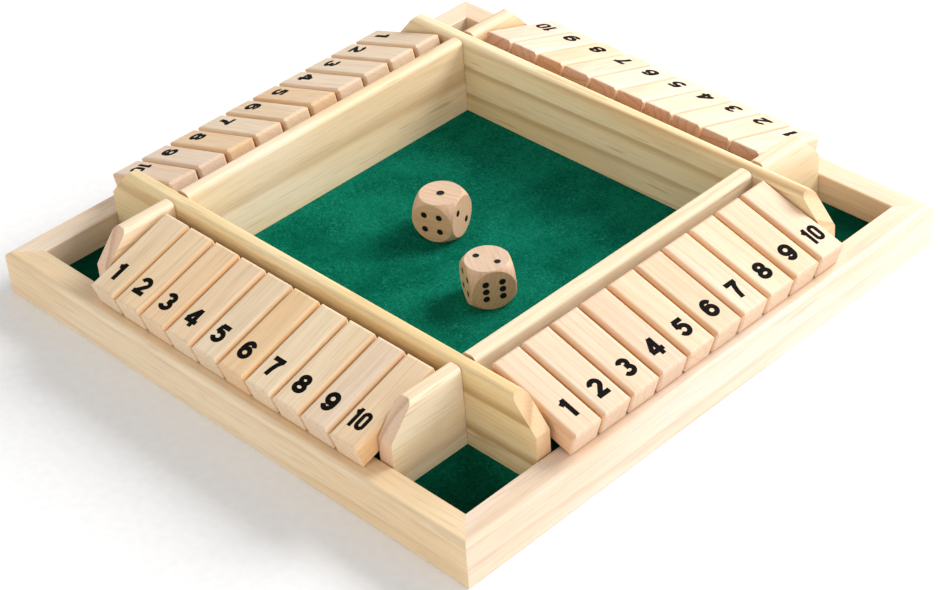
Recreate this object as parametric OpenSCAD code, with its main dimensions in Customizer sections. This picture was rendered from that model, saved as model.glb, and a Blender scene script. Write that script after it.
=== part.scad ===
// Four-sided shut the box game: a square frame, a lattice of four boards, four rows of number tiles, two dice
// Millimetres, +Z up, origin at the middle of the underside of the frame
// One player sits at each side. The sides are front (-Y), right (+X), back (+Y) and left (-X)
// Every row is drawn for the right side, outward along +X, low numbers towards -Y, and turned to its own side

/* [Frame] */
// Width of a frame rail
rail_w = 10.5; // [8:0.5:16]
// Height of a frame rail
rail_h = 17.2; // [15:0.1:19]
// Rounding along the outer top edge of a rail
rail_round = 2.1; // [0.5:0.1:4]
// Easing along the inner top edge of a rail
rail_ease = 0.7; // [0.2:0.1:1.5]
// Clear width between a lattice board and the rail beside it
channel_w = 31.4; // [29:0.1:36]

/* [Floor] */
// Thickness of the base panel
panel_t = 3; // [2:0.1:4]
// Height of the underside of the base panel above the table
panel_raise = 2.7; // [1.5:0.1:4]
// Depth of the groove in the rails that holds the base panel
groove_d = 4; // [2:0.5:6]
// Gap between the edge of the base panel and the end of its groove
groove_gap = 0.3; // [0.1:0.1:0.6]
// Thickness of the felt
felt_t = 0.8; // [0.5:0.1:1.5]
// Gap between the edge of the felt and the rails
felt_gap = 0.2; // [0.1:0.1:0.6]

/* [Lattice boards] */
// Thickness of a lattice board
board_t = 6; // [5:0.1:8]
// Height of a lattice board
board_h = 30.8; // [29:0.1:36]
// Rounding along both top edges of a lattice board
board_round = 2.2; // [0.5:0.1:2.4]
// Gap between the end of a lattice board and the rail
board_gap = 0.3; // [0.1:0.1:0.6]
// Length of the slope at each end of a lattice board
slope_run = 10; // [4:0.5:12]
// Height of the slope at each end of a lattice board
slope_drop = 11.4; // [4:0.1:14]
// Extra width of the slots where two lattice boards cross
lap_fit = 0.3; // [0.1:0.1:0.6]

/* [Number tiles] */
// Number of tiles in a row
tiles_per_row = 10; // [6:1:10]
// Width of a tile
tile_w = 12.4; // [10:0.1:16]
// Thickness of a tile
tile_t = 9.6; // [7:0.1:11]
// Length of a tile
tile_l = 36.8; // [34:0.1:40]
// Gap between two tiles
tile_gap = 0.9; // [0.4:0.1:1.5]
// Rounding along the four long edges of a tile
tile_round = 1.5; // [0.4:0.1:2]
// Easing around the two ends of a tile
tile_ease = 1.2; // [0.3:0.1:1.5]
// Gap between the left end of a row and the board beside it
row_left_gap = 1.7; // [0.3:0.1:2.5]
// Gap between the right end of a row and the board beside it
row_right_gap = 0.4; // [0.3:0.1:2.5]
// Gap between a resting tile and the top of its rail
seat_gap = 0.1; // [0.05:0.05:0.3]

/* [Hinge rods] */
// Diameter of a hinge rod
rod_d = 4; // [3:0.1:5]
// Distance from the face of a lattice board to the axis of the rod beside it
rod_offset = 11.9; // [11:0.1:14]
// Height of the rod's axis above the felt
rod_rise = 23.5; // [21:0.1:25]
// Distance from the inner end of a tile to the rod's axis
hinge_inset = 8.5; // [6:0.1:9.5]
// Radial clearance of a tile on its rod
hinge_fit = 0.08; // [0.05:0.01:0.1]
// Depth of the blind bore that holds a rod's end
socket_depth = 3; // [2:0.1:4]
// Radial clearance of a rod in its blind bore
socket_fit = 0.05; // [0.02:0.01:0.1]
// Gap between the end of a rod and the bottom of its blind bore
socket_end_gap = 0.2; // [0.1:0.1:0.4]

/* [Dice] */
// Side of a die
die_side = 16; // [12:0.5:20]
// Diameter of the ball that rounds the corners of a die
die_ball_d = 22.2; // [20.5:0.1:26]
// Distance of a pip from the middle lines of its face
pip_pitch = 2.95; // [2.5:0.05:3.5]
// Diameter of a pip
pip_d = 2.4; // [1.5:0.1:2.6]
// Diameter of the single pip of a one
one_pip_d = 3; // [1.5:0.1:3.5]
// Depth of a pip
pip_depth = 0.4; // [0.2:0.05:0.6]
// Place of the first die along X
die_a_x = -16.8; // [-30:0.1:0]
// Place of the first die along Y
die_a_y = 4.6; // [-10:0.1:30]
// Turn of the first die
die_a_turn = 19.2; // [-90:0.1:90]
// Place of the second die along X
die_b_x = 23.6; // [10:0.1:40]
// Place of the second die along Y
die_b_y = -13.1; // [-40:0.1:10]
// Turn of the second die
die_b_turn = -29; // [-90:0.1:90]

/* [Screws] */
// Diameter of a screw's shank
screw_d = 3; // [2:0.1:3.5]
// Diameter of a screw's head
screw_head_d = 5.6; // [5:0.1:8]
// Height of a screw's countersunk head
screw_head_h = 1.6; // [1:0.1:1.8]
// Length of a screw
screw_l = 16; // [10:0.5:18]
// Radial clearance round a screw
screw_fit = 0.1; // [0.05:0.01:0.2]
// Distance from the middle of a lattice board to each of its screws
screw_spread = 35; // [20:1:45]
// Width of the cross recess in a screw's head
recess_w = 0.7; // [0.5:0.1:1]
// Length of the cross recess in a screw's head
recess_l = 3; // [2:0.1:4]
// Depth of the cross recess in a screw's head
recess_depth = 0.9; // [0.5:0.1:1.2]

/* [Hidden] */
$fn = 64;
cut = 0.5;
SIDES = ["front", "right", "back", "left"];

tile_pitch = tile_w + tile_gap;
row_l = tiles_per_row * tile_pitch - tile_gap;
tray_side = row_left_gap + row_l + row_right_gap;
board_face_in = tray_side / 2;
board_face_out = board_face_in + board_t;
board_mid = board_face_in + board_t / 2;
inner_half = board_face_out + channel_w;
frame_half = inner_half + rail_w;

panel_top = panel_raise + panel_t;
panel_half = inner_half + groove_d - groove_gap;
felt_top = panel_top + felt_t;
felt_half = inner_half - felt_gap;
board_half_l = inner_half - board_gap;
lap_h = board_h / 2;
lap_w = board_t + lap_fit;

rod_r = rod_d / 2;
rod_out = board_face_out + rod_offset;
rod_z = felt_top + rod_rise;
rod_l = tray_side + 2 * (socket_depth - socket_end_gap);
socket_r = rod_r + socket_fit;

// The outer lower edge of a tile turns about the rod until its rounding meets the rail
edge_out = tile_l - hinge_inset - tile_ease;
edge_down = tile_t / 2 - tile_ease;
edge_drop = rod_z - rail_h - seat_gap - tile_ease;
tile_tilt = asin(edge_drop / norm([edge_out, edge_down])) - atan2(edge_down, edge_out);

screw_top = panel_raise + screw_l;
screw_hole_r = screw_d / 2 + screw_fit;

// Pip places on each face in steps of pip_pitch along the face's own two directions
ONE = [[0, 0]];
TWO = [[-1, 1], [1, -1]];
THREE = concat(ONE, TWO);
FOUR = [[-1, -1], [-1, 1], [1, -1], [1, 1]];
FIVE = concat(ONE, FOUR);
SIX = concat(FOUR, [[0, -1], [0, 1]]);
// Each face of a die: the turn that takes the top there, and its pips
DIE_FACES = [
    [[0, 0, 0], ONE], [[180, 0, 0], SIX],
    [[90, 0, 90], TWO], [[90, 0, -90], FIVE],
    [[90, 0, 180], THREE], [[90, 0, 0], FOUR]
];

// The back row has slid along its rod, so its two end gaps are the other way round
function end_gap(side) = SIDES[side] == "back" ? row_right_gap : row_left_gap;
function tile_place(side, number) = -board_face_in + end_gap(side) + (number - 1) * tile_pitch + tile_w / 2;

// What is left outside a quarter circle of radius r in the corner at the origin
module corner_waste(r) {
    difference() {
        translate([-cut, -cut]) square(r + cut);
        translate([r, r]) circle(r);
    }
}

// Rectangle centred on X with its base on the X axis, and its two lower, left upper and right upper roundings
module eased_rectangle(w, h, low, top_left, top_right) {
    difference() {
        translate([-w / 2, 0]) square([w, h]);
        if (low > 0)
            for (flip = [0, 1])
                mirror([flip, 0]) translate([-w / 2, 0]) corner_waste(low);
        translate([-w / 2, h]) mirror([0, 1]) corner_waste(top_left);
        translate([w / 2, h]) mirror([1, 0]) mirror([0, 1]) corner_waste(top_right);
    }
}

// Extrudes a flat shape drawn in X and Z along Y, centred on the origin
module along_y(length) {
    translate([0, length / 2, 0]) rotate([90, 0, 0]) linear_extrude(length) children();
}

// Extrudes a flat shape drawn in Y and Z along X, centred on the origin
module along_x(length) {
    rotate([0, 0, 90]) along_y(length) children();
}

// Turns its children from the right side to another side
module to_side(side) {
    rotate([0, 0, 90 * (side - 1)]) children();
}

// Rail with mitred ends and the groove of the base panel
module rail(side) {
    color("wheat") to_side(side) intersection() {
        difference() {
            translate([inner_half + rail_w / 2, 0, 0])
                along_y(2 * frame_half)
                    eased_rectangle(rail_w, rail_h, rail_ease, rail_ease, rail_round);
            translate([inner_half - cut, -frame_half, panel_raise])
                cube([groove_d + cut, 2 * frame_half, panel_t]);
        }
        translate([0, 0, -cut])
            linear_extrude(rail_h + 2 * cut)
                polygon([[0, 0], [frame_half + cut, -frame_half - cut], [frame_half + cut, frame_half + cut]]);
    }
}

// Calls its children at each screw, two under every lattice board
module at_screws() {
    for (turn = [0:90:270], spread = [-screw_spread, screw_spread])
        rotate([0, 0, turn]) translate([board_mid, spread, 0]) children();
}

// Cone of a countersunk head, widest at the underside of the base panel
module head_cone(grow) {
    translate([0, 0, panel_raise])
        cylinder(h = screw_head_h, r1 = screw_head_d / 2 + grow, r2 = screw_d / 2 + grow);
}

module base_panel() {
    color("burlywood")
        difference() {
            translate([-panel_half, -panel_half, panel_raise])
                cube([2 * panel_half, 2 * panel_half, panel_t]);
            at_screws() {
                head_cone(screw_fit);
                cylinder(h = screw_top, r = screw_hole_r);
            }
        }
}

module felt_floor() {
    color("seagreen")
        difference() {
            translate([-felt_half, -felt_half, panel_top])
                cube([2 * felt_half, 2 * felt_half, felt_t]);
            at_screws() cylinder(h = screw_top, r = screw_hole_r);
        }
}

module lattice_screws() {
    color("silver")
        at_screws()
            difference() {
                union() {
                    head_cone(0);
                    translate([0, 0, panel_raise]) cylinder(h = screw_l, r = screw_d / 2);
                }
                for (turn = [0, 90])
                    translate([0, 0, panel_raise]) rotate([0, 0, turn])
                        cube([recess_l, recess_w, 2 * recess_depth], center = true);
            }
}

// Side view of a lattice board, standing on the felt
module board_outline() {
    polygon([
        [-board_half_l, 0], [board_half_l, 0], [board_half_l, board_h - slope_drop],
        [board_half_l - slope_run, board_h], [slope_run - board_half_l, board_h],
        [-board_half_l, board_h - slope_drop]
    ]);
}

// Lattice board along Y with a rounded top, a blind bore for a rod at each end and two screw holes
module plain_board() {
    translate([board_mid, 0, felt_top]) difference() {
        intersection() {
            along_x(board_t) board_outline();
            along_y(2 * board_half_l) eased_rectangle(board_t, board_h, 0, board_round, board_round);
        }
        for (end = [-rod_out, rod_out])
            translate([-board_t / 2 - cut, end, rod_rise])
                rotate([0, 90, 0]) cylinder(h = socket_depth + cut, r = socket_r);
        for (spread = [-screw_spread, screw_spread])
            translate([0, spread, -cut]) cylinder(h = screw_top - felt_top + 2 * cut, r = screw_hole_r);
    }
}

// Slots where the two boards at right angles cross this one
module lap_slots(from) {
    for (place = [-board_mid, board_mid])
        translate([board_mid - board_t, place - lap_w / 2, felt_top + from])
            cube([2 * board_t, lap_w, lap_h + cut]);
}

// The front and back boards pass over the left and right ones, so their slots open downwards
module lattice_board(side) {
    passes_over = side % 2 == 0;
    color("moccasin") to_side(side)
        difference() {
            plain_board();
            lap_slots(passes_over ? -cut : lap_h);
        }
}

module rod(side) {
    color("tan") to_side(side)
        translate([rod_out, 0, rod_z]) rotate([90, 0, 0]) cylinder(h = rod_l, r = rod_r, center = true);
}

// Tile with its rod's axis along Y at the origin and its numbered end towards +X
module tile() {
    difference() {
        translate([tile_l / 2 - hinge_inset, 0, -tile_t / 2])
            intersection() {
                along_x(tile_l) eased_rectangle(tile_w, tile_t, tile_round, tile_round, tile_round);
                along_y(tile_w) eased_rectangle(tile_l, tile_t, tile_ease, tile_ease, tile_ease);
                linear_extrude(tile_t)
                    translate([0, -tile_w / 2]) eased_rectangle(tile_l, tile_w, tile_ease, tile_ease, tile_ease);
            }
        rotate([90, 0, 0]) cylinder(h = tile_w + 2 * cut, r = rod_r + hinge_fit, center = true);
    }
}

// Tile at its place in a row, leaning on the rail
module placed_tile(side, number) {
    color("bisque") to_side(side)
        translate([rod_out, tile_place(side, number), rod_z]) rotate([0, tile_tilt, 0]) tile();
}

// Ball that cuts a pip of this diameter into the top of a die
module pip_ball(d) {
    r = (pow(d / 2, 2) + pow(pip_depth, 2)) / (2 * pip_depth);
    translate([0, 0, die_side / 2 + r - pip_depth]) sphere(r);
}

// Die with one upwards, two towards +X and three towards +Y
module die() {
    difference() {
        intersection() {
            cube(die_side, center = true);
            sphere(d = die_ball_d);
        }
        for (face = DIE_FACES, pip = face[1])
            rotate(face[0])
                translate([pip[0] * pip_pitch, pip[1] * pip_pitch, 0])
                    pip_ball(len(face[1]) == 1 ? one_pip_d : pip_d);
    }
}

module die_a() {
    color("navajowhite")
        translate([die_a_x, die_a_y, felt_top + die_side / 2]) rotate([0, 0, die_a_turn]) die();
}

// The second die lies on its five
module die_b() {
    color("navajowhite")
        translate([die_b_x, die_b_y, felt_top + die_side / 2]) rotate([0, 0, die_b_turn]) rotate([0, -90, 0]) die();
}

base_panel();
felt_floor();
die_a();
die_b();
lattice_screws();
for (side = [0:len(SIDES) - 1]) {
    rail(side);
    lattice_board(side);
    rod(side);
    for (number = [1:tiles_per_row])
        placed_tile(side, number);
}
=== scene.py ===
"""Looks of the four-sided shut the box game: pine, felt, printed numbers, painted pips and steel screws.

Metres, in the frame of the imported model: +X right, +Y back, +Z up, the origin under the game's middle.
The sides are front (-Y), right (+X), back (+Y) and left (-X). A row's numbers rise to its player's right.
"""
import math
import random

import bmesh
import bpy
from mathutils import Euler, Matrix, Vector, noise
from mathutils.geometry import delaunay_2d_cdt


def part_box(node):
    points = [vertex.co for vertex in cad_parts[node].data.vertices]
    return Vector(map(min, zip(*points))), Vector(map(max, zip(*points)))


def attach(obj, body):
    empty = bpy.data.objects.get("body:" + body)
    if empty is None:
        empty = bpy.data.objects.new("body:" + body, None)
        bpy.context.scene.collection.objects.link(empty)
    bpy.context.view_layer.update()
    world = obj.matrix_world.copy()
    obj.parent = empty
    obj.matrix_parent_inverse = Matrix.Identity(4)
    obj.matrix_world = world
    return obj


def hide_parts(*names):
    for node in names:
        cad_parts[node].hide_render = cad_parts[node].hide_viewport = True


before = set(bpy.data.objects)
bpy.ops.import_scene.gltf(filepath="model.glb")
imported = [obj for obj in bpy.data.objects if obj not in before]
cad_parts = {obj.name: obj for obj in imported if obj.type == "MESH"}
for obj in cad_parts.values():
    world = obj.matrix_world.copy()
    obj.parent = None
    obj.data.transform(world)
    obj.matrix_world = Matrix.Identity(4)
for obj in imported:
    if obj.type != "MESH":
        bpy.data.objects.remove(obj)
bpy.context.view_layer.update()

MM = 0.001
UP = Vector((0, 0, 1))
WHITE = (1, 1, 1)

# The camera stands where the photograph's lines meet: the image is 940 x 590 pixels
IMAGE_WIDTH = 940
SENSOR_WIDTH = 36
CAMERA_AZIMUTH = math.radians(47.592)
CAMERA_ELEVATION = math.radians(36.523)
CAMERA_ROLL = math.radians(-4.464)
CAMERA_DISTANCE = 802.2 * MM
CAMERA_TARGET = Vector((11.52, -10.94, 0)) * MM
FOCAL_PIXELS = 2305.2

# Floor and light. A light has a name, a direction from the game, a distance and a size in metres, and watts
FLOOR_HALF = 2.5
HORIZON_LIGHT = 1.0
CEILING_LIGHT = 0.28
LIGHTS = (
    ("key", (0.3, 0.9, 0.70), 1.0, 0.5, 11.5),
    ("side", (1.0, -0.1, 0.38), 1.3, 0.8, 3.6),
    ("fill", (-0.2, -1.0, 0.45), 1.4, 1.0, 3.2),
)

SIDES = ("front", "right", "back", "left")
TILES_PER_ROW = 10

# How each die lies, in degrees about X, Y and Z
DICE_TURNS = {"die_a": (0, 0, 19.2), "die_b": (0, -90, -29)}

# Printed numbers: sizes, the thinner stroke of a 10, how far a number lies from its tile's low end and how
# far each row's numbers are off the middle of their tiles. Points nearer than PRINT_MERGE become one
PRINT_HEIGHT = 7.5 * MM
PRINT_STROKE = 1.8 * MM
TEN_STROKE = 0.8
PRINT_FROM_END = 9.5 * MM
PRINT_THICKNESS = 0.04 * MM
PRINT_SUNK = 0.02 * MM
PRINT_MERGE = 1e-7
PRINT_SHIFT = {"front": -0.9 * MM, "right": 0.2 * MM, "back": 0, "left": -0.8 * MM}
ARC_STEP = math.radians(12)
ARC_OVERLAP = 10  # degrees, as in the calls of arc()

# Pips of paint in dimples of the same size. A pip's rim stands proud by PIP_LIP, and PIP_HOLLOW is the share
# of the dimple's depth that the paint leaves open
PIP_PITCH = 2.95 * MM
PIP_RADIUS = 1.2 * MM
ONE_PIP_RADIUS = 1.5 * MM
PIP_DEPTH = 0.4 * MM
PIP_LIP = 0.012 * MM
PIP_HOLLOW = 0.45
PIP_RINGS = 4
PIP_SEGMENTS = 20

# Places of a face's pips in units of PIP_PITCH, then the turn of each face of a die and its pips
ONE = ((0, 0),)
TWO = ((-1, 1), (1, -1))
THREE = ONE + TWO
FOUR = ((-1, -1), (-1, 1), (1, -1), (1, 1))
FIVE = ONE + FOUR
SIX = FOUR + ((0, -1), (0, 1))
DICE_FACES = (
    ((0, 0, 0), ONE), ((180, 0, 0), SIX),
    ((90, 0, 90), TWO), ((90, 0, -90), FIVE),
    ((90, 0, 180), THREE), ((90, 0, 0), FOUR),
)

# Felt sheet: its mesh, its lumps, half its width, how dark the corner wells are and its holes for screws
FELT_STEP = 1.3 * MM
FELT_RELIEF = 0.12 * MM
FELT_LUMP = 9 * MM
FELT_HALF = 104.3 * MM
WELL_SHADE = 0.35
SCREW_CLEAR = 2.2 * MM
SCREW_SPREAD = 35 * MM


def degrees(turns):
    """Euler turn about X, Y and Z from degrees."""
    return Euler([math.radians(turn) for turn in turns])


def outward(side):
    """Unit vector from the middle of the game to a side."""
    turn = math.radians(90 * (SIDES.index(side) - 1))
    return Vector((math.cos(turn), math.sin(turn), 0))


def along(side):
    """Unit vector along a side, from its low numbers to its high ones."""
    return UP.cross(outward(side))


def middle(node):
    """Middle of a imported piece's box."""
    low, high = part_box(node)
    return (low + high) / 2


# Material nodes

def add_node(tree, kind, inputs=None, **settings):
    """Adds a shader node. An input is a value or another node's output socket."""
    made = tree.nodes.new("ShaderNode" + kind)
    for name, value in settings.items():
        setattr(made, name, value)
    for name, value in (inputs or {}).items():
        if isinstance(value, bpy.types.NodeSocket):
            tree.links.new(value, made.inputs[name])
        else:
            made.inputs[name].default_value = value
    return made


def math_node(tree, operation, first, second=0.0, clamp=False):
    """Output of a math node."""
    return add_node(tree, "Math", {0: first, 1: second}, operation=operation, use_clamp=clamp).outputs[0]


def ramp(tree, factor, stops, smooth=True):
    """Output of a colour ramp. A stop is a place and a colour or a grey value."""
    made = add_node(tree, "ValToRGB", {"Fac": factor})
    made.color_ramp.interpolation = "EASE" if smooth else "LINEAR"
    elements = made.color_ramp.elements
    while len(elements) < len(stops):
        elements.new(0.5)
    for element, (place, colour) in zip(elements, stops):
        element.position = place
        element.color = (*colour, 1) if isinstance(colour, tuple) else (colour, colour, colour, 1)
    return made.outputs["Color"]


def mix(tree, factor, first, second, blend="MIX"):
    """Output of a colour mix."""
    made = add_node(tree, "Mix", data_type="RGBA", blend_type=blend, clamp_factor=True)
    for socket, value in ((made.inputs[0], factor), (made.inputs[6], first), (made.inputs[7], second)):
        if isinstance(value, bpy.types.NodeSocket):
            tree.links.new(value, socket)
        else:
            socket.default_value = (*value, 1) if isinstance(value, tuple) else value
    return made.outputs[2]


def multiply(colour, tint):
    """Colour times a tint, channel by channel."""
    return tuple(part * share for part, share in zip(colour, tint))


def new_material(name):
    """Material with an empty tree, its principled shader and the tree."""
    material = bpy.data.materials.new(name)
    material.use_nodes = True
    tree = material.node_tree
    return material, tree, tree.nodes["Principled BSDF"]


def grain_noise(tree, vector, scale, stretch, detail, roughness):
    """Noise drawn out along the grain, which runs along local X."""
    drawn = add_node(tree, "Mapping", {"Vector": vector, "Scale": (1 / stretch, 1, 1)})
    return add_node(tree, "TexNoise", {
        "Vector": drawn.outputs[0], "Scale": scale, "Detail": detail, "Roughness": roughness,
    }).outputs["Fac"]


def wood(name, grain, centre, kind, tint, seed):
    """Planed pine with rings of its own. grain is the turn whose X axis runs along the fibres."""
    chance = random.Random(seed)
    material, tree, shader = new_material(name)
    place = add_node(tree, "TexCoord")
    skew = degrees([chance.uniform(-1, 1) * kind["skew"] for _ in range(3)]).to_matrix()
    local = add_node(tree, "Mapping", {
        "Vector": place.outputs["Object"], "Location": centre, "Rotation": (grain @ skew).to_euler(),
    }, vector_type="TEXTURE").outputs[0]
    offset = [chance.uniform(-1, 1) for _ in range(3)]
    spot = add_node(tree, "Mapping", {"Vector": local, "Location": offset}).outputs[0]

    heart_angle = chance.uniform(0, 2 * math.pi)
    heart = kind["pith"] * chance.uniform(0.7, 1.4)
    heart_place = (chance.uniform(-1, 1), heart * math.cos(heart_angle), heart * math.sin(heart_angle))
    ring_place = add_node(tree, "Mapping", {
        "Vector": local, "Location": heart_place, "Scale": (RING_STRETCH, 1, 1),
    })
    rings = add_node(tree, "TexWave", {
        "Vector": ring_place.outputs[0], "Scale": WAVE_LENGTH / (kind["ring"] * chance.uniform(0.8, 1.3)),
        "Distortion": kind["waviness"], "Detail": 2.0, "Detail Scale": 0.8, "Detail Roughness": 0.5,
    }, wave_type="RINGS", rings_direction="X", wave_profile="SAW").outputs["Fac"]

    early, middle_tone, late = (multiply(kind[part], tint) for part in ("early", "middle", "late"))
    rings_colour = ramp(tree, rings, ((0.0, early), (0.62, middle_tone), (0.91, late), (1.0, early)))
    presence = grain_noise(tree, spot, *PRESENCE_NOISE)
    figure = ramp(tree, presence, ((0.36, 0.35 * kind["figure"]), (0.60, kind["figure"])))
    ringed = mix(tree, figure, middle_tone, rings_colour)
    cloud = grain_noise(tree, spot, *WARM_NOISE)
    patches = ramp(tree, cloud, ((0.38, WHITE), (0.64, kind["warm"])))
    clouded = mix(tree, 1.0, ringed, patches, "MULTIPLY")
    fibre = grain_noise(tree, spot, *FIBRE_NOISE)
    fibre_shade = ramp(tree, fibre, ((0.28, 0.86), (0.58, 1.0)))
    fibred = mix(tree, 1.0, clouded, fibre_shade, "MULTIPLY")
    fleck = grain_noise(tree, spot, *FLECK_NOISE)
    flecked = mix(tree, ramp(tree, fleck, ((0.67, 0.0), (0.76, 0.5))), fibred, late)

    def facing(axis):
        """How squarely the surface faces along one axis of the grain's turn."""
        dot = add_node(tree, "VectorMath", {0: place.outputs["Normal"], 1: grain @ Vector(axis)},
                       operation="DOT_PRODUCT").outputs["Value"]
        return ramp(tree, math_node(tree, "ABSOLUTE", dot), ((0.40, 0.0), (0.80, 1.0)))

    # The side tint falls on faces across the grain: on the tiles it is painted shade and warm bounce light
    # between neighbouring tiles
    side_tinted = mix(tree, facing((0, 1, 0)), flecked, kind["side"], "MULTIPLY")
    end_mask = facing((1, 0, 0))
    pores = add_node(tree, "TexNoise", {"Vector": local, "Scale": PORE_SCALE, "Detail": 2.0}).outputs["Fac"]
    end_shade = ramp(tree, pores, ((0.3, 0.86), (0.6, 1.0)))
    end_rings = mix(tree, kind["end_figure"], middle_tone, rings_colour)
    end_colour = mix(tree, 1.0, mix(tree, 1.0, end_rings, kind["end"], "MULTIPLY"), end_shade, "MULTIPLY")
    tree.links.new(mix(tree, end_mask, side_tinted, end_colour), shader.inputs["Base Color"])

    gloss = ramp(tree, fibre, ((0.2, 0.58), (0.8, 0.46)))
    tree.links.new(mix(tree, end_mask, gloss, (0.7, 0.7, 0.7)), shader.inputs["Roughness"])
    shader.inputs["Coat Weight"].default_value = 0.1
    shader.inputs["Coat Roughness"].default_value = 0.35
    height = math_node(tree, "ADD", fibre, math_node(tree, "MULTIPLY", rings, -0.08))
    bump = add_node(tree, "Bump", {"Strength": 0.3, "Distance": WOOD_RELIEF, "Height": height})
    tree.links.new(bump.outputs[0], shader.inputs["Normal"])
    return material


def felt_material():
    """Pressed wool felt: clouded green with pale curled fibres on top."""
    material, tree, shader = new_material("green_felt")
    place = add_node(tree, "TexCoord").outputs["Object"]
    cloud = add_node(tree, "TexNoise", {"Vector": place, "Scale": 55, "Detail": 3.0}).outputs["Fac"]
    base = ramp(tree, cloud, ((0.3, FELT_SHADES[0]), (0.7, FELT_SHADES[1])))
    curl = add_node(tree, "TexNoise", {
        "Vector": place, "Scale": 420, "Detail": 4.0, "Roughness": 0.6, "Distortion": 3.5,
    }).outputs["Fac"]
    clump = add_node(tree, "TexNoise", {"Vector": place, "Scale": 95, "Detail": 2.0}).outputs["Fac"]
    curl_mask = mix(tree, 1.0, ramp(tree, curl, ((0.45, 0.0), (0.68, 0.75))),
                    ramp(tree, clump, ((0.35, 0.45), (0.62, 1.0))), "MULTIPLY")
    curled = mix(tree, curl_mask, base, CURL_GREEN)
    matted = add_node(tree, "TexNoise", {
        "Vector": place, "Scale": 900, "Detail": 3.0, "Roughness": 0.65, "Distortion": 1.0,
    }).outputs["Fac"]
    shade = ramp(tree, matted, ((0.3, 0.62), (0.6, 1.08)))
    shaded = mix(tree, 1.0, curled, shade, "MULTIPLY")
    # A darker tint in the corner wells stands in for shadow, as the studio lights leave them too bright
    spread = add_node(tree, "SeparateXYZ", {"Vector": place}).outputs
    corner = math_node(tree, "MINIMUM", *(math_node(tree, "ABSOLUTE", spread[axis]) for axis in "XY"))
    wells = ramp(tree, math_node(tree, "DIVIDE", corner, FELT_HALF), ((0.62, 1.0), (0.82, WELL_SHADE)))
    tree.links.new(mix(tree, 1.0, shaded, wells, "MULTIPLY"), shader.inputs["Base Color"])
    shader.inputs["Roughness"].default_value = 0.95
    shader.inputs["Sheen Weight"].default_value = 0.08
    shader.inputs["Sheen Roughness"].default_value = 0.5
    shader.inputs["Sheen Tint"].default_value = (0.02, 0.6, 0.35, 1)
    shader.inputs["Specular IOR Level"].default_value = 0.0
    height = math_node(tree, "ADD", curl, math_node(tree, "MULTIPLY", matted, 0.6))
    bump = add_node(tree, "Bump", {"Strength": 0.6, "Distance": FELT_NAP, "Height": height})
    tree.links.new(bump.outputs[0], shader.inputs["Normal"])
    return material


def ink_material(name, roughness, shine):
    """Black print or paint, a little uneven where the grain takes it up."""
    material, tree, shader = new_material(name)
    place = add_node(tree, "TexCoord").outputs["Object"]
    blot = add_node(tree, "TexNoise", {"Vector": place, "Scale": 1400, "Detail": 3.0}).outputs["Fac"]
    colour = ramp(tree, blot, ((0.3, INK_SHADES[0]), (0.75, INK_SHADES[1])))
    tree.links.new(colour, shader.inputs["Base Color"])
    dulled = ramp(tree, blot, ((0.3, roughness), (0.8, roughness + 0.15)))
    tree.links.new(dulled, shader.inputs["Roughness"])
    shader.inputs["Specular IOR Level"].default_value = shine
    bump = add_node(tree, "Bump", {"Strength": 0.2, "Distance": INK_RELIEF, "Height": blot})
    tree.links.new(bump.outputs[0], shader.inputs["Normal"])
    return material


def steel_material():
    """Zinc-plated steel, brushed unevenly by the driver."""
    material, tree, shader = new_material("screw_steel")
    place = add_node(tree, "TexCoord").outputs["Object"]
    mottle = add_node(tree, "TexNoise", {"Vector": place, "Scale": 900, "Detail": 4.0}).outputs["Fac"]
    colour = ramp(tree, mottle, ((0.3, STEEL_SHADES[0]), (0.7, STEEL_SHADES[1])))
    tree.links.new(colour, shader.inputs["Base Color"])
    tree.links.new(ramp(tree, mottle, ((0.3, 0.42), (0.7, 0.26))), shader.inputs["Roughness"])
    shader.inputs["Metallic"].default_value = 1.0
    bump = add_node(tree, "Bump", {"Strength": 0.2, "Distance": STEEL_RELIEF, "Height": mottle})
    tree.links.new(bump.outputs[0], shader.inputs["Normal"])
    return material


# Woods: colours of early wood, of the middle of a ring and of late wood, then the tints of warm patches,
# of end grain and of the sides across the grain, which on the tiles is painted shade and warm bounce light
# on the long sides that face the next tile. ring is a ring's width, and pith how far off the rings' heart
# lies.
# figure and end_figure say how strongly the rings show along the grain and across it, and skew how many
# degrees the grain may run off the piece's length.
RAIL_WOOD = {
    "early": (0.90, 0.79, 0.62), "middle": (0.87, 0.74, 0.56), "late": (0.70, 0.51, 0.32),
    "warm": (0.97, 0.91, 0.82), "end": (0.93, 0.84, 0.77), "side": (1, 1, 1),
    "ring": 7 * MM, "pith": 60 * MM, "waviness": 8, "figure": 0.4, "end_figure": 0.5, "skew": 1.5,
}
BOARD_WOOD = {
    "early": (0.93, 0.81, 0.58), "middle": (0.90, 0.75, 0.50), "late": (0.55, 0.36, 0.17),
    "warm": (0.95, 0.87, 0.74), "end": (0.90, 0.75, 0.72), "side": (1, 1, 1),
    "ring": 9 * MM, "pith": 55 * MM, "waviness": 4.5, "figure": 0.85, "end_figure": 0.5, "skew": 1,
}
TILE_WOOD = {
    "early": (0.92, 0.76, 0.57), "middle": (0.89, 0.71, 0.51), "late": (0.76, 0.55, 0.35),
    "warm": (0.97, 0.90, 0.82), "end": (0.91, 0.87, 0.85), "side": (0.96, 0.83, 0.67),
    "ring": 3.4 * MM, "pith": 45 * MM, "waviness": 6, "figure": 0.32, "end_figure": 0.25, "skew": 3,
}
ROD_WOOD = {
    **TILE_WOOD, "early": (0.62, 0.42, 0.24), "middle": (0.58, 0.38, 0.21), "late": (0.44, 0.27, 0.13),
}
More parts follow.
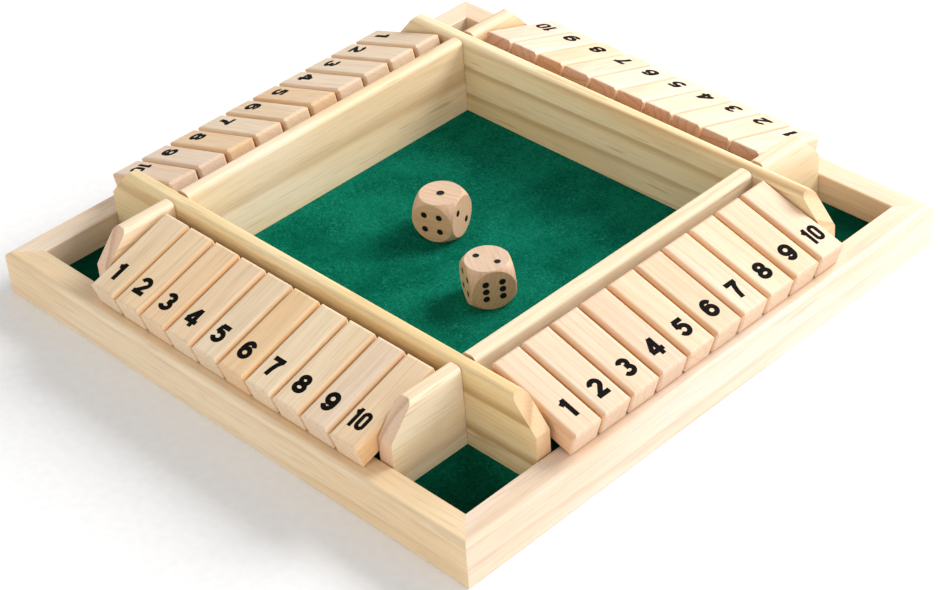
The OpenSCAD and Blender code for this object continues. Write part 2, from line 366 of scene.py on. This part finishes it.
DIE_WOOD = {
    "early": (0.77, 0.58, 0.43), "middle": (0.73, 0.53, 0.38), "late": (0.62, 0.41, 0.27),
    "warm": (0.97, 0.91, 0.85), "end": (0.90, 0.78, 0.68), "side": (0.96, 0.88, 0.76),
    "ring": 1.8 * MM, "pith": 30 * MM, "waviness": 4, "figure": 0.55, "end_figure": 0.6, "skew": 4,
}
PANEL_WOOD = {
    **BOARD_WOOD, "early": (0.72, 0.55, 0.35), "middle": (0.68, 0.50, 0.31), "late": (0.50, 0.33, 0.18),
}

# Tints of each side's pieces, set against the photograph, so they hold some of its light as well
RAIL_TINTS = {
    "front": (1.0, 0.93, 0.82), "right": (1, 0.96, 1.02),
    "back": (0.98, 0.90, 0.88), "left": (1.03, 1.0, 1.03),
}
BOARD_TINTS = {
    "front": (0.98, 0.94, 0.81), "right": (1, 0.99, 1.04),
    "back": (1.02, 0.97, 0.89), "left": (1.04, 1.01, 1.09),
}
TILE_TINTS = {
    "front": (1, 1, 0.99), "right": (0.95, 0.88, 0.88),
    "back": (0.98, 0.97, 1.06), "left": (0.91, 0.90, 0.91),
}

# A tile takes one of the tones by chance and a few are darker. The back row's ends are painted brown as
# shade, since its inner ends face away from the key light, and its sides are painted paler as light, since
# that row faces the key light
TILE_TONES = ((1, 1, 1), (1, 0.99, 0.94), (0.97, 0.95, 0.97), (1, 0.95, 0.88), (0.96, 0.96, 0.93))
DARK_TILE_TONE = (0.99, 0.88, 0.72)
DARK_TILES = ("tile_front_6", "tile_left_5", "tile_left_8", "tile_back_8")
BACK_TILE_LIT_AND_SHADED_WOOD = {**TILE_WOOD, "end": (0.66, 0.47, 0.37), "end_figure": 0.9, "side": (1.0, 0.96, 0.90)}

# Seeds of the pieces' grain, the boards' given one by one. A tile's seed rises with its side and its number
BOARD_SEEDS = {"front": 88, "right": 66, "back": 27, "left": 77}
RAIL_SEED = 11
ROD_SEED = 31
PANEL_SEED = 41
DICE_SEED = 51
TILE_SEED = 100
TILE_SEED_STEP = 20

# The wave texture's length at scale 1, and how little the rings change along the grain
WAVE_LENGTH = math.pi / 10
RING_STRETCH = 0.07

# Noises of the wood: scale, how far it's drawn out along the grain, detail and roughness. They place the
# stretches where the rings show, the warm patches, the fibres and the dark flecks
PRESENCE_NOISE = (45, 14, 1, 0.5)
WARM_NOISE = (50, 5, 2, 0.5)
FIBRE_NOISE = (1300, 30, 4, 0.6)
FLECK_NOISE = (600, 14, 1, 0.5)
PORE_SCALE = 1900

# Shades of felt, its curled fibres, ink, steel and floor, each from dark to pale
FELT_SHADES = ((0.0014, 0.092, 0.054), (0.0040, 0.155, 0.094))
CURL_GREEN = (0.014, 0.26, 0.165)
INK_SHADES = ((0.003, 0.003, 0.003), (0.012, 0.010, 0.009))
STEEL_SHADES = ((0.42, 0.41, 0.39), (0.68, 0.67, 0.64))
FLOOR_SHADES = (0.93, 0.96)

# Depths of the materials' bumps
WOOD_RELIEF = 0.04 * MM
FELT_NAP = 0.25 * MM
INK_RELIEF = 0.03 * MM
STEEL_RELIEF = 0.02 * MM


def basis(x_axis, z_axis):
    """Turn whose X and Z axes are these, with Y across them."""
    x_axis, z_axis = x_axis.normalized(), z_axis.normalized()
    return Matrix((x_axis, z_axis.cross(x_axis), z_axis)).transposed()


def finish(node, material):
    """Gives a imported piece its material."""
    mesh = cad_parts[node].data
    mesh.materials.clear()
    mesh.materials.append(material)


def top_face(node):
    """Turn and place of a tile: X down the slope, Z out of its top, placed in the middle of its low end."""
    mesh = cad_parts[node].data
    areas = {}
    for face in mesh.polygons:
        key = tuple(round(value, 3) for value in face.normal)
        areas[key] = areas.get(key, 0) + face.area
    normal = Vector(max((key for key in areas if key[2] > 0.5), key=areas.get)).normalized()
    row = along(node.split("_")[1])
    down = row.cross(normal)
    lower_end = max(down.dot(vertex.co) for vertex in mesh.vertices)
    top = max(normal.dot(vertex.co) for vertex in mesh.vertices)
    origin = down * lower_end + row * row.dot(middle(node)) + normal * top
    return basis(down, normal), origin


# Printed numbers, as strokes with flat ends

def arc(centre, radii, start, end):
    """Points on an ellipse from one angle to another, in degrees."""
    start, end = math.radians(start), math.radians(end)
    steps = max(2, round(abs(end - start) / ARC_STEP))
    angles = [start + (end - start) * step / steps for step in range(steps + 1)]
    (x, y), (wide, high) = centre, radii
    return [Vector((x + wide * math.cos(angle), y + high * math.sin(angle))) for angle in angles]


def ellipse(centre, radii):
    """Two halves of an ellipse, which overlap at their ends."""
    return [arc(centre, radii, start - ARC_OVERLAP, start + 180 + ARC_OVERLAP) for start in (90, -90)]


def line(*points):
    """Points of a straight or bent stroke."""
    return [Vector(point) for point in points]


def number_strokes(number):
    """Centre lines of a number's strokes in units of the digit's height, with its middle at the origin."""
    half = PRINT_STROKE / PRINT_HEIGHT / 2
    top = 0.5 - half
    digits = {
        1: [line((0.08, 0.5), (0.08, -0.5)), line((0.10, 0.44), (0.0, 0.315), (-0.17, 0.235))],
        2: [arc((0, 0.165), (0.235, top - 0.165), 172, -32) + line((-0.21, -top)),
            line((-0.335, -top), (0.335, -top))],
        3: [arc((-0.01, 0.2), (0.21, top - 0.2), 162, -100),
            arc((-0.01, -0.19), (0.245, top - 0.19), 100, -166)],
        4: [line((0.10, 0.5), (0.10, -0.5)), line((0.10, 0.47), (-0.30, -0.15)),
            line((-0.37, -0.205), (0.34, -0.205))],
        5: [line((-0.22, top), (0.29, top)), line((-0.155, top), (-0.205, 0.02)),
            arc((-0.01, -0.14), (0.24, top - 0.14), 146, -162)],
        6: ellipse((0, -0.15), (0.24, top - 0.15))
           + [line((-0.24, -0.15)) + arc((0.005, 0.06), (0.245, top - 0.06), 180, 30)],
        7: [line((-0.33, top), (0.32, top)),
            line((0.21, top), (0.06, 0.14), (-0.03, -0.14), (-0.075, -0.5))],
        8: ellipse((0, 0.2), (0.2, top - 0.2)) + ellipse((0, -0.185), (0.245, top - 0.185)),
    }
    digits[9] = [[-point for point in stroke] for stroke in digits[6]]
    if number < 10:
        return digits[number]
    one = [line((-0.23, 0.5), (-0.23, -0.5)), line((-0.21, 0.44), (-0.285, 0.32), (-0.41, 0.25))]
    return one + zero_strokes((0.21, 0), (0.165, top), 0.2)


def zero_strokes(centre, radii, straight):
    """Two halves of a narrow zero, whose sides run straight for twice this length."""
    halves = []
    for side in (-1, 1):
        bend = (radii[0] * side, radii[1] - straight)
        upper = arc((centre[0], centre[1] + straight), bend, 90 + ARC_OVERLAP, 0)
        lower = arc((centre[0], centre[1] - straight), bend, 0, -90 - ARC_OVERLAP)
        halves.append(upper + lower)
    return halves


def ribbon(points, half):
    """Outline of a stroke of this half width with flat ends."""
    ends = (points[1] - points[0], points[-1] - points[-2])
    bends = [(b - a).normalized() + (c - b).normalized() for a, b, c in zip(points, points[1:], points[2:])]
    ways = [way.normalized() for way in (ends[0], *bends, ends[1])]
    offsets = [Vector((-way.y, way.x)) * half for way in ways]
    left = [point + offset for point, offset in zip(points, offsets)]
    right = [point - offset for point, offset in zip(points, offsets)]
    return right + left[::-1]


def print_number(node, number, material):
    """Number printed near the lower end of a tile, as a thin layer of ink."""
    side = node.split("_")[1]
    turn, lower_end = top_face(node)
    half = PRINT_STROKE / 2 * (1 if number < 10 else TEN_STROKE)
    strokes = [[point * PRINT_HEIGHT for point in stroke] for stroke in number_strokes(number)]
    outlines = [ribbon(stroke, half) for stroke in strokes]
    points = [point for outline in outlines for point in outline]
    starts = [sum(len(outline) for outline in outlines[:index]) for index in range(len(outlines))]
    loops = [list(range(start, start + len(outline))) for start, outline in zip(starts, outlines)]
    flat, _, faces, _, _, sources = delaunay_2d_cdt(points, [], loops, 0, PRINT_MERGE, True)
    mesh = bpy.data.meshes.new(f"number_{side}_{number}")
    layer = bmesh.new()
    # A digit's foot points down the slope and its right side along the row
    corners = [layer.verts.new((-point.y, point.x, 0)) for point in flat]
    for face, source in zip(faces, sources):
        if source:
            layer.faces.new([corners[index] for index in face])
    loose = [corner for corner in corners if not corner.link_faces]
    bmesh.ops.delete(layer, geom=loose, context="VERTS")
    bmesh.ops.recalc_face_normals(layer, faces=layer.faces)
    grown = bmesh.ops.extrude_face_region(layer, geom=list(layer.faces))
    for item in grown["geom"]:
        if isinstance(item, bmesh.types.BMVert):
            item.co.z += PRINT_THICKNESS
    bmesh.ops.recalc_face_normals(layer, faces=layer.faces)
    place = lower_end - turn @ Vector((PRINT_FROM_END, -PRINT_SHIFT[side], PRINT_SUNK))
    layer.transform(Matrix.Translation(place) @ turn.to_4x4())
    layer.to_mesh(mesh)
    layer.free()
    piece = bpy.data.objects.new(mesh.name, mesh)
    bpy.context.scene.collection.objects.link(piece)
    mesh.materials.append(material)
    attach(piece, node)


def add_pip(mesh, place, size):
    """Drop of paint in a dimple of this radius: a hollow top over a bowl of the dimple's depth."""
    def ring(radius, depth):
        """Ring of corners on the paint's surface, which is this deep in its middle."""
        z = PIP_LIP - depth * (1 - (radius / size) ** 2)
        turns = [2 * math.pi * step / PIP_SEGMENTS for step in range(PIP_SEGMENTS)]
        spots = [Vector((radius * math.cos(turn), radius * math.sin(turn), z)) for turn in turns]
        return [mesh.verts.new(place @ spot) for spot in spots]

    radii = [size * step / PIP_RINGS for step in range(1, PIP_RINGS + 1)]
    rim = ring(radii[-1], 0)
    for depth in (PIP_DEPTH * PIP_HOLLOW, PIP_DEPTH):
        rings = [ring(radius, depth) for radius in radii[:-1]] + [rim]
        centre = mesh.verts.new(place @ Vector((0, 0, PIP_LIP - depth)))
        for index in range(PIP_SEGMENTS):
            following = (index + 1) % PIP_SEGMENTS
            mesh.faces.new((centre, rings[0][index], rings[0][following]))
            for inner, outer in zip(rings, rings[1:]):
                mesh.faces.new((inner[index], outer[index], outer[following], inner[following]))


def paint_pips(node, material):
    """All the pips of a die."""
    low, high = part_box(node)
    half = (high.z - low.z) / 2
    turns = DICE_TURNS[node]
    die = Matrix.Translation(middle(node)) @ degrees((0, 0, turns[2])).to_matrix().to_4x4()
    die = die @ degrees((turns[0], turns[1], 0)).to_matrix().to_4x4()
    paint = bmesh.new()
    for turn, pips in DICE_FACES:
        for across, up in pips:
            spot = Matrix.Translation((across * PIP_PITCH, up * PIP_PITCH, half))
            size = ONE_PIP_RADIUS if pips == ONE else PIP_RADIUS
            add_pip(paint, die @ degrees(turn).to_matrix().to_4x4() @ spot, size)
    bmesh.ops.recalc_face_normals(paint, faces=paint.faces)
    mesh = bpy.data.meshes.new(f"pips_{node}")
    paint.to_mesh(mesh)
    paint.free()
    mesh.materials.append(material)
    mesh.shade_smooth()
    piece = bpy.data.objects.new(mesh.name, mesh)
    bpy.context.scene.collection.objects.link(piece)
    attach(piece, node)


def lay_felt(material):
    """Felt sheet: its lower face lies on the base panel, its upper face is softly lumpy."""
    low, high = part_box("felt_floor")
    count = round((high.x - low.x) / FELT_STEP)
    ticks = [low.x + (high.x - low.x) * step / count for step in range(count + 1)]
    board_mid = middle("board_right").x
    places = (-SCREW_SPREAD, SCREW_SPREAD)
    screws = [outward(side) * board_mid + along(side) * place for side in SIDES for place in places]
    sheet = bmesh.new()
    grid = [[sheet.verts.new((x, y, low.z)) for x in ticks] for y in ticks]
    for row in range(count):
        for column in range(count):
            near, far = grid[row], grid[row + 1]
            corners = (near[column], near[column + 1], far[column + 1], far[column])
            centre = (corners[0].co + corners[2].co) / 2
            if min((centre - screw).xy.length for screw in screws) > SCREW_CLEAR:
                sheet.faces.new(corners)
    loose = [corner for corner in sheet.verts if not corner.link_faces]
    bmesh.ops.delete(sheet, geom=loose, context="VERTS")
    grown = bmesh.ops.extrude_face_region(sheet, geom=list(sheet.faces))
    for item in grown["geom"]:
        if isinstance(item, bmesh.types.BMVert):
            lump = noise.fractal(item.co / FELT_LUMP, 0.6, 2.0, 3)
            item.co.z = high.z - FELT_RELIEF * min(1.0, max(0.0, 0.5 + 0.5 * lump))
    bmesh.ops.recalc_face_normals(sheet, faces=sheet.faces)
    mesh = bpy.data.meshes.new("felt_sheet")
    sheet.to_mesh(mesh)
    sheet.free()
    mesh.materials.append(material)
    piece = bpy.data.objects.new("felt_sheet", mesh)
    bpy.context.scene.collection.objects.link(piece)
    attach(piece, "board")
    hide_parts("felt_floor")


def finish_wood():
    """A material of its own for every wooden piece, with the grain along it."""
    for index, side in enumerate(SIDES):
        lengthwise = basis(along(side), UP)
        for seed, piece, kind, tint in (
            (RAIL_SEED + index, f"rail_{side}", RAIL_WOOD, RAIL_TINTS[side]),
            (BOARD_SEEDS[side], f"board_{side}", BOARD_WOOD, BOARD_TINTS[side]),
            (ROD_SEED + index, f"rod_{side}", ROD_WOOD, WHITE),
        ):
            finish(piece, wood(piece, lengthwise, middle(piece), kind, tint, seed))
        kind = BACK_TILE_LIT_AND_SHADED_WOOD if side == "back" else TILE_WOOD
        for number in range(1, TILES_PER_ROW + 1):
            piece = f"tile_{side}_{number}"
            turn, _ = top_face(piece)
            seed = TILE_SEED + TILE_SEED_STEP * index + number
            tone = DARK_TILE_TONE if piece in DARK_TILES else random.Random(seed).choice(TILE_TONES)
            finish(piece, wood(piece, turn, middle(piece), kind, multiply(TILE_TINTS[side], tone), seed))
    across = basis(Vector((1, 0, 0)), UP)
    panel = wood("base_panel", across, middle("base_panel"), PANEL_WOOD, WHITE, PANEL_SEED)
    finish("base_panel", panel)
    for index, die in enumerate(DICE_TURNS):
        turn = degrees((0, 0, DICE_TURNS[die][2])).to_matrix()
        finish(die, wood(die, turn, middle(die), DIE_WOOD, WHITE, DICE_SEED + index))


def add_camera():
    """Camera at the photograph's view."""
    azimuth, elevation, roll = CAMERA_AZIMUTH, CAMERA_ELEVATION, CAMERA_ROLL
    back = Vector((math.sin(azimuth) * math.cos(elevation), -math.cos(azimuth) * math.cos(elevation),
                   math.sin(elevation)))
    right = Vector((math.cos(azimuth), math.sin(azimuth), 0))
    above = back.cross(right)
    turned_right = math.cos(roll) * right + math.sin(roll) * above
    turned_up = -math.sin(roll) * right + math.cos(roll) * above
    data = bpy.data.cameras.new("camera")
    data.sensor_width = SENSOR_WIDTH
    data.lens = FOCAL_PIXELS / IMAGE_WIDTH * SENSOR_WIDTH
    camera = bpy.data.objects.new("camera", data)
    turn = Matrix((turned_right, turned_up, back)).transposed()
    camera.matrix_world = Matrix.Translation(CAMERA_TARGET + back * CAMERA_DISTANCE) @ turn.to_4x4()
    bpy.context.scene.collection.objects.link(camera)
    bpy.context.scene.camera = camera


def add_floor():
    """Pale floor under the game."""
    mesh = bpy.data.meshes.new("floor")
    corners = [(x * FLOOR_HALF, y * FLOOR_HALF, 0) for x, y in ((-1, -1), (1, -1), (1, 1), (-1, 1))]
    mesh.from_pydata(corners, [], [(0, 1, 2, 3)])
    material, tree, shader = new_material("floor")
    place = add_node(tree, "TexCoord").outputs["Object"]
    paper = add_node(tree, "TexNoise", {"Vector": place, "Scale": 300, "Detail": 2.0}).outputs["Fac"]
    grey = ramp(tree, paper, ((0.3, FLOOR_SHADES[0]), (0.7, FLOOR_SHADES[1])))
    tree.links.new(grey, shader.inputs["Base Color"])
    shader.inputs["Roughness"].default_value = 0.8
    shader.inputs["Specular IOR Level"].default_value = 0.2
    mesh.materials.append(material)
    floor = bpy.data.objects.new("floor", mesh)
    bpy.context.scene.collection.objects.link(floor)


def add_light(name, direction, distance, size, power):
    """Square soft light that shines on the middle of the game."""
    data = bpy.data.lights.new(name, "AREA")
    data.shape = "SQUARE"
    data.size = size
    data.energy = power
    light = bpy.data.objects.new(name, data)
    light.location = Vector(direction).normalized() * distance
    light.rotation_euler = Vector(direction).to_track_quat("Z", "Y").to_euler()
    bpy.context.scene.collection.objects.link(light)


def light_studio():
    """White surroundings, brighter low down, a large key light from the back and two softer ones."""
    world = bpy.data.worlds.new("studio")
    world.use_nodes = True
    tree = world.node_tree
    direction = add_node(tree, "TexCoord").outputs["Generated"]
    height = add_node(tree, "SeparateXYZ", {"Vector": direction}).outputs["Z"]
    sky = ramp(tree, height, ((0.0, HORIZON_LIGHT), (1.0, CEILING_LIGHT)), smooth=False)
    tree.links.new(sky, tree.nodes["Background"].inputs["Color"])
    bpy.context.scene.world = world
    bpy.context.scene.view_settings.view_transform = "Standard"
    for light in LIGHTS:
        add_light(*light)


add_camera()
add_floor()
light_studio()
finish_wood()
finish("lattice_screws", steel_material())
lay_felt(felt_material())
number_ink = ink_material("number_ink", roughness=0.6, shine=0.03)
pip_paint = ink_material("pip_paint", roughness=0.35, shine=0.25)
for side in SIDES:
    for number in range(1, TILES_PER_ROW + 1):
        print_number(f"tile_{side}_{number}", number, number_ink)
for die in DICE_TURNS:
    paint_pips(die, pip_paint)
